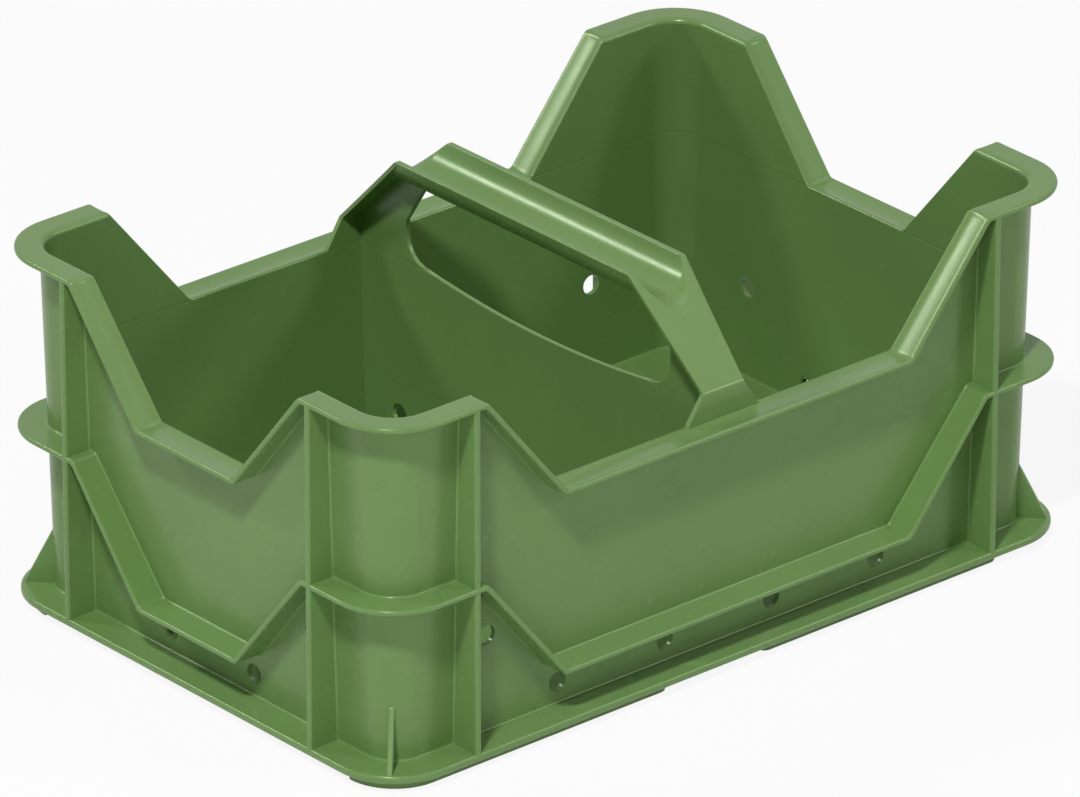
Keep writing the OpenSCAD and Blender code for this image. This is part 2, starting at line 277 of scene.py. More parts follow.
class TubStudio(bpy.types.PropertyGroup):
    """Camera, light and floor of the picture."""

    target: bpy.props.FloatVectorProperty(
        name="Target", description="Point that the camera looks at", subtype="TRANSLATION",
        size=3, default=(-13.36 * MM, -16.52 * MM, 111.74 * MM))
    azimuth: bpy.props.FloatProperty(
        name="Azimuth", description="Turn of the camera from the front, to the right",
        default=math.radians(-40.87), subtype="ANGLE")
    elevation: bpy.props.FloatProperty(
        name="Elevation", description="Height angle of the camera",
        default=math.radians(25.51), subtype="ANGLE")
    distance: bpy.props.FloatProperty(
        name="Distance", description="Camera to target", default=6.669, unit="LENGTH")
    lens: bpy.props.FloatProperty(
        name="Lens", description="Focal length in millimetres on a 36 mm sensor", default=409.24)
    key: bpy.props.FloatProperty(
        name="Key", description="Strength of the key light from the front left", default=1.78)
    rim_light: bpy.props.FloatProperty(
        name="Rim light", description="Strength of the light from the back left", default=0.68)
    top_fill: bpy.props.FloatProperty(
        name="Top fill", description="Strength of the soft light from above on the right", default=0.40)
    side_fill: bpy.props.FloatProperty(
        name="Side fill", description="Strength of the soft light from the front right", default=0.42)
    corner_fill: bpy.props.FloatProperty(
        name="Corner fill", description="Strength of the low light in front of the near corner",
        default=0.38)
    ambient: bpy.props.FloatProperty(
        name="Ambient", description="Strength of the even light all round", default=0.04)
    mirrored: bpy.props.FloatProperty(
        name="Mirrored", description="How much of the white floor the plastic mirrors",
        default=0.5, min=0, max=1, subtype="FACTOR")
    backdrop: bpy.props.FloatProperty(
        name="Backdrop", description="How much of the white backdrop the plastic mirrors",
        default=0.75, min=0, max=1, subtype="FACTOR")
    bareness: bpy.props.FloatProperty(
        name="Bareness", description="How far the floor looks plain white instead of lit",
        default=0.9, min=0, max=1, subtype="FACTOR")


# Shared geometry

def wall_out(z):
    """Distance from the flange edge in to the wall's outer face at height z."""
    return INSET_BASE - (z - BASE_TOP) * DRAFT


def wall_in(z):
    """Distance from the flange edge in to the wall's inner face at height z."""
    return wall_out(z) + WALL_T


def arc_points(centre, radius, start, end, steps):
    """Points of an arc in a plane, its angles in degrees."""
    angles = [math.radians(start + (end - start) * i / steps) for i in range(steps + 1)]
    return [(centre[0] + radius * math.cos(a), centre[1] + radius * math.sin(a)) for a in angles]


def loft(bm, rings, close_rows=False, close_rings=False):
    """A grid whose rows are the given rings of points, welded where it closes on itself."""
    rows = rings + rings[:1] if close_rows else rings
    count = len(rows[0])
    columns = count if close_rings else count - 1
    made = bmesh.ops.create_grid(bm, x_segments=columns, y_segments=len(rows) - 1, size=0.5)
    grid = {}
    for vert in made["verts"]:
        column = round((vert.co.x + 0.5) * columns)
        row = round((vert.co.y + 0.5) * (len(rows) - 1))
        grid[row, column] = vert
    for (row, column), vert in grid.items():
        vert.co = rows[row][column % count]
    return grid


def close_up(bm):
    """Welds doubles, fills open ends and turns all faces outwards."""
    bmesh.ops.remove_doubles(bm, verts=bm.verts, dist=TINY)
    rims = [edge for edge in bm.edges if edge.is_boundary]
    if rims:
        bmesh.ops.holes_fill(bm, edges=rims, sides=0)
    bmesh.ops.recalc_face_normals(bm, faces=bm.faces)


def sharp_edges(bm, degrees):
    """Edges whose faces meet at more than the given angle."""
    limit = math.radians(degrees)
    return [edge for edge in bm.edges if edge.is_manifold and edge.calc_face_angle(0) > limit]


def round_edges(bm, edges, radius, segments=3):
    """Rounds the given edges."""
    bmesh.ops.bevel(bm, geom=edges, offset=radius, offset_type="OFFSET", segments=segments,
                    profile=0.5, affect="EDGES", material=-1, clamp_overlap=True)


def thicken(bm, faces, depth):
    """Draws flat faces out along depth into a closed plate."""
    made = bmesh.ops.extrude_face_region(bm, geom=faces, use_keep_orig=True)
    moved = [item for item in made["geom"] if isinstance(item, bmesh.types.BMVert)]
    bmesh.ops.translate(bm, verts=moved, vec=depth)


def plate(bm, outline, depth):
    """A closed plate: the outline's points as a face, drawn out along depth."""
    face = bm.faces.new([bm.verts.new(point) for point in outline])
    thicken(bm, [face], depth)


def hole_circle(bm, centre, turn, radius):
    """The corners and edges of a new circle for a hole."""
    made = bmesh.ops.create_circle(bm, segments=HOLE_SIDES, radius=radius,
                                   matrix=Matrix.Translation(centre) @ turn)
    corners = made["verts"]
    edges = dict.fromkeys(edge for vert in corners for edge in vert.link_edges)
    return corners, list(edges)


def finish_piece(context, name, bm, replaced):
    """Turns a bmesh into a smooth-shaded piece that rides on the tub and stands for its nodes."""
    for face in bm.faces:
        face.smooth = True
    for edge in sharp_edges(bm, SHADED_ANGLE):
        edge.smooth = False
    mesh = bpy.data.meshes.new(name)
    bm.to_mesh(mesh)
    bm.free()
    piece = bpy.data.objects.new(name, mesh)
    context.scene.collection.objects.link(piece)
    weighted = piece.modifiers.new("even_faces", "WEIGHTED_NORMAL")
    weighted.keep_sharp = True
    piece.data.materials.append(moulded_plastic(context.scene.tub_finish))
    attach(piece, BODY)
    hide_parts(*replaced)


def nodes_named(*starts):
    """Names of the frame's nodes that begin with one of the given words."""
    return [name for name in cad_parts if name.startswith(starts)]


# Shell: floor, walls, rim, belt and base flange as one swept section

class Side:
    """One side of the tub: where it runs, where its rim dips, and where its ribs and holes are."""

    def __init__(self, shape, index):
        is_long = index % 2 == 0
        self.turn = Matrix.Rotation(math.radians(90 * index), 3, "Z")
        self.half_run = HALF_L if is_long else HALF_W
        self.half_reach = HALF_W if is_long else HALF_L
        self.end = self.half_run - CORNER_R
        self.rib = LONG_RIB if is_long else SHORT_RIB
        slope_top = shape.long_slope_top if is_long else shape.short_slope_top
        self.top = self.half_run - slope_top
        self.foot = self.half_run - shape.slope_foot
        self.bend = shape.bend_round
        self.steep = RIM_DROP / (self.top - self.foot)
        self.shift = FLANGE_T * math.tan(math.atan(self.steep) / 2)
        drains = LONG_DRAINS if is_long else SHORT_DRAINS
        pitch = shape.long_drain_pitch if is_long else shape.short_drain_pitch
        first = (1 - drains) / 2
        vent = self.half_run - (shape.long_vent_end if is_long else shape.short_vent_end)
        # A hole's place along the side, level (0 for drains, 1 for vents), rise and diameter
        self.holes = [((first + step) * pitch, 0, shape.drain_rise, shape.drain_d)
                      for step in range(drains)]
        self.holes += [(place, 1, shape.vent_rise, shape.vent_d) for place in (-vent, vent)]

    def dip(self, place, shift):
        """Drop of the rim's line at a place along the side, with rounded bends."""
        from_top = self.top + shift - abs(place)
        from_foot = abs(place) - self.foot - shift
        bend = self.bend
        if from_top <= -bend:
            return 0.0
        if from_top < bend:
            return self.steep * (from_top + bend) ** 2 / (4 * bend)
        if from_foot >= bend:
            return self.steep * from_top
        if from_foot > -bend:
            return RIM_DROP - self.steep * (from_foot + bend) ** 2 / (4 * bend)
        return RIM_DROP

    def places(self):
        """Places along the side where the swept section is set down."""
        marks = {0.0, self.end}
        for middle in (self.top, self.foot):
            low = middle - self.bend
            span = 2 * self.bend + self.shift
            marks.update(low + span * step / BEND_STEPS for step in range(BEND_STEPS + 1))
        marks |= {-mark for mark in marks}
        for place, _, _, diameter in self.holes:
            margin = diameter / 2 + HOLE_MARGIN
            marks.update((place - margin, place + margin))
        ordered = sorted(marks)
        return [ordered[0]] + [b for a, b in zip(ordered, ordered[1:]) if b - a > LEAST_GAP]

    def station(self, place):
        """The swept section's edge point, outward direction and drops at a place."""
        point = self.turn @ Vector((place, -self.half_reach, 0))
        outward = self.turn @ Vector((0, -1, 0))
        return point, outward, self.dip(place, 0), self.dip(place, self.shift)

    def corner(self):
        """Stations round the corner that follows the side."""
        centre = self.turn @ Vector((self.end, CORNER_R - self.half_reach, 0))
        stations = []
        for step in range(1, CORNER_STEPS):
            angle = math.radians(90 * step / CORNER_STEPS - 90)
            outward = self.turn @ Vector((math.cos(angle), math.sin(angle), 0))
            stations.append((centre + outward * CORNER_R, outward, 0.0, 0.0))
        return stations


def lip_section(top, under, edge):
    """Rounded outer edge of a flange, from its upper face to its lower one."""
    stretch = (top - under) / FLANGE_T
    upper = arc_points((edge, -edge), edge, 90, 180, EDGE_STEPS)
    lower = arc_points((edge, edge), edge, 180, 270, EDGE_STEPS)
    return ([(d, top + z * stretch) for d, z in upper]
            + [(d, under + z * stretch) for d, z in lower])


def fillet_section(z, radius, up, outwards):
    """Concave rounding between a flange's face at height z and the wall's outer face."""
    points = arc_points((-radius, radius), radius, 0, -90, EDGE_STEPS)
    section = [(wall_out(z) + d, z + up * rise) for d, rise in points]
    return section if outwards else section[::-1]


def sunk_face(start, end, top, sink):
    """Points across a flange's upper face that sinks in, deepest nearer its inner edge."""
    points = []
    for step in range(1, SINK_STEPS):
        t = step / SINK_STEPS
        away = (t - SINK_SHARE) / (SINK_SHARE if t < SINK_SHARE else 1 - SINK_SHARE)
        points.append((start + (end - start) * t, top - sink * (1 - away ** 2)))
    return points


def base_section(shape):
    """Foot of the shell's section: base flange, ledge and the floor's underside."""
    ledge = wall_in(BASE_TOP) + shape.ledge
    return (fillet_section(BASE_TOP, shape.fillet, 1, True)
            + lip_section(BASE_TOP, BASE_LOW.z, shape.edge_round)
            + [(ledge, BASE_LOW.z), (ledge, FLOOR_LOW.z)])


def hole_rows(shape):
    """Heights of the rows that frame the drain and vent holes in the walls."""
    rows = []
    for rise, diameter in ((shape.drain_rise, shape.drain_d), (shape.vent_rise, shape.vent_d)):
        margin = diameter / 2 + HOLE_MARGIN
        rows += [BASE_TOP + rise - margin, BASE_TOP + rise + margin]
    return rows


def shell_section(shape, drop_top, drop_under):
    """Section of the tub's shell at a station: (distance in from the flange edge, height)."""
    rim_top = RIM_TOP - drop_top
    rim_under = RIM_TOP - FLANGE_T - drop_under
    belt_top = BELT_TOP - drop_top
    belt_under = BELT_TOP - FLANGE_T - drop_under
    wall_top = belt_under - shape.fillet
    floor_top = FLOOR_HIGH.z
    curve = shape.floor_fillet
    edge = shape.edge_round
    raised = max(0, 1 - drop_top / shape.bend_round)
    lead_w = max(edge, shape.lead_w * raised)
    lead_h = max(edge, shape.lead_h * raised)
    rows = hole_rows(shape)
    inner = wall_in(rim_top - lead_h)
    section = [(wall_in(floor_top) + curve + d, floor_top + curve + z)
               for d, z in arc_points((0, 0), curve, 270, 180, FLOOR_STEPS)]
    section += [(wall_in(z), z) for z in rows]
    section += [(inner - lead_w * (1 - across), rim_top - lead_h * (1 - rise))
                for across, rise in arc_points((0, 0), 1, 0, 90, LEAD_STEPS)]
    section += sunk_face(section[-1][0], edge, rim_top, shape.rim_sink * (1 - raised))
    section += lip_section(rim_top, rim_under, edge)
    section += fillet_section(rim_under, shape.fillet, -1, False)
    section += fillet_section(belt_top, shape.fillet, 1, True)
    section += lip_section(belt_top, belt_under, edge)
    section += fillet_section(belt_under, shape.fillet, -1, False)
    section += [(wall_out(min(z, wall_top)), min(z, wall_top)) for z in reversed(rows)]
    return section + base_section(shape)


def cut_hole(bm, quads, centre, across, radius):
    """A round hole through two wall faces, with its own wall; hands back its two edges."""
    turn = across.to_track_quat("Z", "Y").to_matrix().to_4x4()
    loops = []
    for quad in quads:
        normal = quad.normal.copy()
        origin = quad.calc_center_median()
        border = list(quad.edges)
        bmesh.ops.delete(bm, geom=[quad], context="FACES_ONLY")
        corners, loop = hole_circle(bm, centre, turn, radius)
        for vert in corners:
            vert.co += across * ((origin - vert.co).dot(normal) / across.dot(normal))
        bmesh.ops.triangle_fill(bm, use_beauty=True, use_dissolve=False,
                                edges=border + loop, normal=normal)
        loops += loop
    bmesh.ops.bridge_loops(bm, edges=loops)
    return loops


class TUB_OT_shell(bpy.types.Operator):
    """Sweeps the shell's section round the tub and cuts its drain and vent holes"""

    bl_idname = "tub.shell"
    bl_label = "Shell"

    def execute(self, context):
        shape = context.scene.tub_shape
        stations = []
        holes = []
        for index in range(4):
            side = Side(shape, index)
            places = side.places()
            for place, level, rise, diameter in side.holes:
                ring = max(i for i, mark in enumerate(places) if mark < place)
                centre = side.turn @ Vector((place, -side.half_reach, BASE_TOP + rise))
                holes.append((len(stations) + ring, level, centre, side.turn.col[1], diameter))
            stations += [side.station(place) for place in places]
            stations += side.corner()
        rings = []
        for point, outward, drop_top, drop_under in stations:
            section = shell_section(shape, drop_top, drop_under)
            rings.append([point - outward * d + Vector((0, 0, z)) for d, z in section])
        bm = bmesh.new()
        grid = loft(bm, rings, close_rows=True)
        bm.normal_update()
        # Places in the section where the drain holes' faces begin; the vents' lie two places higher up
        inner = FLOOR_STEPS + 1
        outer = len(rings[0]) - len(base_section(shape)) - 2
        hole_edges = []
        for ring, level, centre, across, diameter in holes:
            quads = []
            for spot in (outer - 2 * level, inner + 2 * level):
                corners = [grid[ring, spot], grid[ring, spot + 1],
                           grid[ring + 1, spot + 1], grid[ring + 1, spot]]
                quads.append(bm.faces.get(corners))
            hole_edges += cut_hole(bm, quads, centre, across, diameter / 2)
        close_up(bm)
        round_edges(bm, hole_edges, shape.edge_round / 2, 2)
        replaced = nodes_named("wall_", "corner_post_", "rim_", "belt_")
        finish_piece(context, "tub_shell", bm, replaced + ["base_flange", "floor"])
        return {"FINISHED"}


# Ribs, gussets and feet

class TUB_OT_ribs(bpy.types.Operator):
    """Stands the upright ribs between the base flange and the rim, with fillets at their roots"""

    bl_idname = "tub.ribs"
    bl_label = "Ribs"

    def execute(self, context):
        shape = context.scene.tub_shape
        bm = bmesh.new()
        edge = shape.edge_round
        flare = shape.fillet
        for index in range(4):
            side = Side(shape, index)
            near = RIB_INSET - side.half_reach
            for place in (-side.rib, side.rib):
                rings = []
                for z in (BASE_TOP - FLANGE_T / 2, RIM_TOP - FLANGE_T / 2):
                    root = wall_out(z)
                    half = arc_points((RIB_HALF_T - edge, edge), edge, -90, 0, EDGE_STEPS)
                    half += arc_points((RIB_HALF_T + flare, root - flare), flare, 180, 90, EDGE_STEPS)
                    half.append((RIB_HALF_T + flare, root + WALL_T / 2))
                    outline = half + [(-x, d) for x, d in reversed(half)]
                    rings.append([side.turn @ Vector((place + x, near + d, z)) for x, d in outline])
                loft(bm, rings, close_rings=True)
        close_up(bm)
        finish_piece(context, "ribs", bm, nodes_named("rib_"))
        return {"FINISHED"}


class TUB_OT_gussets(bpy.types.Operator):
    """Sets a small triangular gusset on the base flange at each corner"""

    bl_idname = "tub.gussets"
    bl_label = "Gussets"

    def execute(self, context):
        shape = context.scene.tub_shape
        top = GUSSET_HIGH.z
        sunk = BASE_TOP - ROOT_OVERLAP
        tip = CORNER_R - GUSSET_INSET
        root = CORNER_R - wall_out(BASE_TOP) - ROOT_OVERLAP
        upper = CORNER_R - wall_out(top)
        blade = [(root, sunk), (tip, sunk), (tip, BASE_TOP), (upper, top), (root, top)]
        bm = bmesh.new()
        for index in range(4):
            angle = math.radians(90 * index - 45)
            outward = Vector((math.cos(angle), math.sin(angle), 0))
            aside = Vector((-math.sin(angle), math.cos(angle), 0)) * GUSSET_HALF_T
            centre = Vector((math.copysign(HALF_L - CORNER_R, outward.x),
                             math.copysign(HALF_W - CORNER_R, outward.y), 0))
            outline = [centre + outward * r - aside + Vector((0, 0, z)) for r, z in blade]
            plate(bm, outline, 2 * aside)
        bmesh.ops.recalc_face_normals(bm, faces=bm.faces)
        round_edges(bm, sharp_edges(bm, GUSSET_ANGLE), shape.edge_round * GUSSET_EDGE_SHARE)
        close_up(bm)
        finish_piece(context, "gussets", bm, nodes_named("gusset_"))
        return {"FINISHED"}


class TUB_OT_feet(bpy.types.Operator):
    """Lays a bent and a straight foot runner under each long side, with rounded ends and edges"""

    bl_idname = "tub.feet"
    bl_label = "Feet"

    def execute(self, context):
        shape = context.scene.tub_shape
        width = FOOT_HIGH.y - FOOT_LOW.y
        end_r = width / 2
        middle = FOOT_LOW.y + end_r
        straight = arc_points((FOOT_LOW.x + end_r, middle), end_r, 270, 90, RUNNER_END_STEPS)
        straight += arc_points((FOOT_HIGH.x - end_r, middle), end_r, 90, -90, RUNNER_END_STEPS)
        centre = (CORNER_R - HALF_L, CORNER_R - HALF_W)
        reach = centre[0] - BENT_FOOT_LOW.x
        bent = arc_points((BENT_FOOT_HIGH.x - end_r, middle), end_r, 90, -90, RUNNER_END_STEPS)
        bent += arc_points(centre, reach, 270, 180, CORNER_STEPS)
        bent += arc_points(centre, reach - width, 180, 270, CORNER_STEPS)
        height = Vector((0, 0, FOOT_HIGH.z + shape.edge_round))
        bm = bmesh.new()
        for outline in (straight, bent):
            for flip in (1, -1):
                plate(bm, [Vector((x, y * flip, 0)) for x, y in outline], height)
        bmesh.ops.recalc_face_normals(bm, faces=bm.faces)
        soles = [edge for edge in sharp_edges(bm, SQUARE_ANGLE)
                 if sum(vert.co.z for vert in edge.verts) < TINY]
        round_edges(bm, soles, shape.edge_round)
        finish_piece(context, "foot_runners", bm, nodes_named("foot_"))
        return {"FINISHED"}


# Partition and handle

def leg_lines(shape):
    """Heights and places that the partition and the handle share."""
    foot_z = TAB_HIGH.z
    grip_end = HALF_W - wall_out(foot_z) - shape.leg_spread
    lean = shape.leg_spread / (LIP_Z - foot_z)
    inset = shape.leg_t * math.sqrt(1 + lean ** 2)
    return foot_z, grip_end, lean, inset


def hand_hole(shape):
    """Right half of the hand hole's edge as (across, height), from its hanging middle up."""
    half = HALF_W - wall_in(LOW_RIM) - shape.hand_side
    neck = half - shape.hand_lean
    round_y = half - shape.hand_r
    round_z = LOW_RIM + shape.hand_r
    bow_r = round_y / math.sin(shape.hand_bow) + shape.hand_r
    bow_z = round_z + (bow_r - shape.hand_r) * math.cos(shape.hand_bow)
    bend = math.degrees(shape.hand_bow) - 90
    edge = arc_points((0, bow_z), bow_r, -90, bend, HAND_BOW_STEPS)[:-1]
    edge += arc_points((round_y, round_z), shape.hand_r, bend, 0, HAND_CORNER_STEPS)
    edge += [(half, LOW_RIM + shape.hand_shoulder), (neck, GRIP_LOW.z), (neck, GRIP_LOW.z + WEB_OVERLAP)]
    return edge


def partition_outline(shape):
    """Outline of the partition as (across, height): its right side, the hand hole, its left side."""
    foot_z, grip_end, lean, inset = leg_lines(shape)
    floor_z = FLOOR_HIGH.z - WEB_OVERLAP
    under = GRIP_LOW.z + WEB_OVERLAP
    side = [(HALF_W - wall_in(z) + WEB_OVERLAP, z) for z in (floor_z, LOW_RIM, foot_z)]
    side.append((grip_end - inset + (LIP_Z - under) * lean + WEB_OVERLAP, under))
    hole = hand_hole(shape)
    outline = side + hole[::-1] + [(-y, z) for y, z in hole[1:]]
    return outline + [(-y, z) for y, z in reversed(side)]


class TUB_OT_partition(bpy.types.Operator):
    """Cuts the partition with its hand hole and two small holes"""

    bl_idname = "tub.partition"
    bl_label = "Partition"

    def execute(self, context):
        shape = context.scene.tub_shape
        half_t = WEB_HIGH.x
        bm = bmesh.new()
        verts = [bm.verts.new((-half_t, y, z)) for y, z in partition_outline(shape)]
        edges = [bm.edges.new(pair) for pair in zip(verts, verts[1:] + verts[:1])]
        hole_z = BASE_TOP + shape.web_hole_rise
        hole_y = HALF_W - wall_in(hole_z) - shape.web_hole_in
        turn = Matrix.Rotation(math.radians(90), 4, "Y")
        for place in (-hole_y, hole_y):
            edges += hole_circle(bm, (-half_t, place, hole_z), turn, shape.web_hole_d / 2)[1]
        bmesh.ops.triangle_fill(bm, use_beauty=True, use_dissolve=False, edges=edges,
                                normal=Vector((-1, 0, 0)))
        thicken(bm, list(bm.faces), Vector((2 * half_t, 0, 0)))
        bmesh.ops.recalc_face_normals(bm, faces=bm.faces)
        round_edges(bm, sharp_edges(bm, SQUARE_ANGLE), shape.edge_round / 2, 2)
        finish_piece(context, "partition_wall", bm, ["partition"])
        return {"FINISHED"}


def bowl(half, deep, start):
    """Arc of a gutter below its lips as (across, depth), from right to left, from a start depth."""
    radius = (half ** 2 + deep ** 2) / (2 * deep)
    reach = math.acos(1 - (deep - start) / radius)
    angles = [reach * (1 - 2 * step / BOWL_STEPS) for step in range(BOWL_STEPS + 1)]
    return [(radius * math.sin(a), deep - radius * (1 - math.cos(a))) for a in angles]


def strip_section(shape):
    """Section of the handle's grip: its lips and gutter, then its underside, as (across, depth)."""
    edge = shape.lip_round
    inner = LIP_HALF_W - shape.lip_t
    start = GUTTER_START_SHARE * edge
    lip = arc_points((inner + edge, edge), edge, LIP_START_ANGLE, 270, EDGE_STEPS)
    lip += arc_points((LIP_HALF_W - edge, edge), edge, 270, 360, EDGE_STEPS)
    upper = [(-x, d) for x, d in reversed(lip)]
    upper += bowl(inner, shape.trough_depth, start)[::-1] + lip
    under = bowl(LIP_HALF_W, GRIP_DEPTH, start)
    return upper, under


def grip_bend(shape, depth, deepest):
    """Bend between grip and leg: tight at the lips and wide at the bottom of the gutter."""
    return shape.grip_bend * (LIP_BEND_SHARE + GUTTER_BEND_SHARE * (depth / deepest) ** 2)


def bent_path(keys, bends):
    """Points along a path through the given ones, curved round those that have a bend."""
    path = []
    for index, (key, bend) in enumerate(zip(keys, bends)):
        if not bend:
            path.append(key)
            continue
        start = key + (keys[index - 1] - key).normalized() * bend
        end = key + (keys[index + 1] - key).normalized() * bend
        for step in range(PATH_STEPS + 1):
            t = step / PATH_STEPS
            path.append(start.lerp(key, t).lerp(key.lerp(end, t), t))
    return path


class TUB_OT_handle(bpy.types.Operator):
    """Lofts the handle: tabs, sloping legs and the gutter-shaped grip as one bent strip"""

    bl_idname = "tub.handle"
    bl_label = "Handle"

    def execute(self, context):
        shape = context.scene.tub_shape
        foot_z, grip_end, lean, inset = leg_lines(shape)
        upper, under = strip_section(shape)
        flat = LIP_HALF_W - shape.lip_round
        base_z = LOW_RIM - ROOT_OVERLAP
        inner_foot_z = foot_z - LEG_FOOT_DROP
        waist_z = LIP_Z - shape.leg_waist_drop
        waist_y = grip_end + shape.leg_waist_drop * lean
        tab = TAB_HIGH.x / LIP_HALF_W
        foot = shape.leg_foot_w / 2 / LIP_HALF_W
        waist = shape.leg_waist_w / 2 / LIP_HALF_W

        lines = []
        for x, d in upper:
            soft = d * LEG_EDGE_SHARE if abs(x) > flat else 0
            half = [Vector((x * tab, HALF_W - wall_out(base_z) - soft, base_z)),
                    Vector((x * foot, HALF_W - wall_out(foot_z) - soft, foot_z)),
                    Vector((x * waist, waist_y - soft, waist_z)),
                    Vector((x, grip_end + d * lean, LIP_Z - d))]
            lines.append((half, grip_bend(shape, d, shape.trough_depth)))
        for x, d in under:
            half = [Vector((x * tab, HALF_W - wall_in(base_z), base_z)),
                    Vector((x * foot, HALF_W - wall_in(inner_foot_z), inner_foot_z)),
                    Vector((x * waist, waist_y - inset, waist_z)),
                    Vector((x, grip_end - inset + d * lean, LIP_Z - d))]
            lines.append((half, grip_bend(shape, d, GRIP_DEPTH)))

        paths = []
        for half, bend in lines:
            other = [Vector((point.x, -point.y, point.z)) for point in reversed(half)]
            bends = [0, shape.leg_bend, 0, bend]
            paths.append(bent_path(half + other, bends + bends[::-1]))
        bm = bmesh.new()
        loft(bm, paths, close_rows=True)
        close_up(bm)
        finish_piece(context, "handle", bm, ["grip"] + nodes_named("leg_", "tab_"))
        return {"FINISHED"}


# Plastic

# Noise: clouds of colour, fine grain and scuffs
CLOUDS = {"Scale": 9.0, "Detail": 3.0, "Roughness": 0.5}
GRAIN = {"Scale": 620.0, "Detail": 2.0, "Roughness": 0.6}
SCUFFS = {"Scale": 55.0, "Detail": 5.0, "Roughness": 0.65}
CLOUD_SHADE = 0.90
CLOUD_LIGHT = 1.09
SCUFF_SPREAD = 0.12
NOISE_MIDDLE = 0.5

# Parting line: a dark seam, and just below it a lighter line, a painted highlight where light would
# catch the seam's edge
SEAM_HALF_W = 0.3 * MM
SEAM_SHADE = 0.4
SEAM_SHARE = 0.45
HIGHLIGHT_LINE_DROP = 0.7 * MM
HIGHLIGHT_LINE_HALF_W = 0.4 * MM
HIGHLIGHT_LINE_LIGHT = 1.5
HIGHLIGHT_LINE_SHARE = 0.35

# Relief of the surface
GRAIN_RELIEF = 0.35
SCUFF_RELIEF = 0.25
LINE_RELIEF = 1.5
BUMP = {"Strength": 0.14, "Distance": 0.4 * MM}

# Places of the two colours and their blend on a Mix node
FIRST_COLOUR = 6
SECOND_COLOUR = 7
BLENDED_COLOUR = 2


class Wire:
    """An output of a node, for links and for sums: each operation in a sum adds a Math node."""

    def __init__(self, paint, socket):
        self.paint = paint
        self.socket = socket

    def _math(self, operation, *values):
        return self.paint.wire("ShaderNodeMath", 0, dict(enumerate(values)), operation=operation)

    def __add__(self, other):
        return self._math("ADD", self, other)

    __radd__ = __add__

    def __sub__(self, other):
        return self._math("SUBTRACT", self, other)

    def __rsub__(self, other):
        return self._math("SUBTRACT", other, self)

    def __mul__(self, other):
        return self._math("MULTIPLY", self, other)

    __rmul__ = __mul__

    def __lt__(self, other):
        return self._math("LESS_THAN", self, other)

    def __abs__(self):
        return self._math("ABSOLUTE", self)

    def at_least(self, least):
        """This value, or the least one where it is smaller."""
        return self._math("MAXIMUM", self, least)


class Paint:
    """The emptied nodes of a material or a world, and one method that adds any node."""

    def __init__(self, owner):
        owner.use_nodes = True
        self.tree = owner.node_tree
        self.tree.nodes.clear()

    def node(self, kind, sockets=None, **settings):
        """Adds a node: its settings first, then values or links of its sockets, by name or place."""
        node = self.tree.nodes.new(kind)
        for key, value in settings.items():
            setattr(node, key, value)
        for key, value in (sockets or {}).items():
            if isinstance(value, Wire):
                self.tree.links.new(value.socket, node.inputs[key])
            else:
                node.inputs[key].default_value = value
        return node

    def wires(self, kind, outputs, sockets=None, **settings):
        """Adds a node and hands back some of its outputs for sums and links."""
        node = self.node(kind, sockets, **settings)
        return [Wire(self, node.outputs[output]) for output in outputs]

    def wire(self, kind, output, sockets=None, **settings):
        """Adds a node and hands back one of its outputs for sums and links."""
        return self.wires(kind, [output], sockets, **settings)[0]

    def blend(self, share, first, second):
        """Mixes two colours, each given as numbers or as another node's output."""
        sockets = {"Factor": share, FIRST_COLOUR: first, SECOND_COLOUR: second}
        return self.wire("ShaderNodeMix", BLENDED_COLOUR, sockets, data_type="RGBA")


def dyed(colour, brightness):
    """A lighter or darker tone of a colour, with full alpha."""
    return (*(min(1, channel * brightness) for channel in colour), 1)


def moulded_plastic(finish):
    """Green polyethylene: a soft sheen, faint cloudiness, fine grain and a parting line inside, with a
    painted highlight line below it.
    """
    name = "moulded_green_plastic"
    if name in bpy.data.materials:
        return bpy.data.materials[name]
    material = bpy.data.materials.new(name)
    paint = Paint(material)
    place = paint.wire("ShaderNodeTexCoord", "Object")
    x, y, z = paint.wires("ShaderNodeSeparateXYZ", "XYZ", {"Vector": place})
    cloud, grain, scuff = (paint.wire("ShaderNodeTexNoise", 0, {"Vector": place, **noise})
                           for noise in (CLOUDS, GRAIN, SCUFFS))
    past_x = (abs(x) - (HALF_L - CORNER_R)).at_least(0)
    past_y = (abs(y) - (HALF_W - CORNER_R)).at_least(0)
    inner_r = CORNER_R - wall_out(LOW_RIM) - WALL_T / 2
    inside = past_x * past_x + past_y * past_y < inner_r ** 2
    seam = (abs(z - LOW_RIM) < SEAM_HALF_W) * inside
    # Painted highlight: a thin light line just below the parting line
    seam_highlight = (abs(z - LOW_RIM + HIGHLIGHT_LINE_DROP) < HIGHLIGHT_LINE_HALF_W) * inside
    shade, light, highlight_tone, seam_tone = (
        dyed(finish.plastic, brightness)
        for brightness in (CLOUD_SHADE, CLOUD_LIGHT, HIGHLIGHT_LINE_LIGHT, SEAM_SHADE))
    tint = paint.blend(cloud, shade, light)
    # Painted highlight: the line below the seam is lightened
    highlighted = paint.blend(seam_highlight * HIGHLIGHT_LINE_SHARE, tint, highlight_tone)
    lined = paint.blend(seam * SEAM_SHARE, highlighted, seam_tone)
    relief = grain * GRAIN_RELIEF + scuff * SCUFF_RELIEF - seam * LINE_RELIEF + seam_highlight * LINE_RELIEF
    shader = paint.wire("ShaderNodeBsdfPrincipled", 0, {
        "Base Color": lined,
        "Roughness": finish.roughness + (scuff - NOISE_MIDDLE) * SCUFF_SPREAD,
        "Specular Tint": (*finish.sheen, 1),
        "Normal": paint.wire("ShaderNodeBump", 0, {"Height": relief, **BUMP}),
    })
    paint.node("ShaderNodeOutputMaterial", {"Surface": shader})
    return material


# Studio

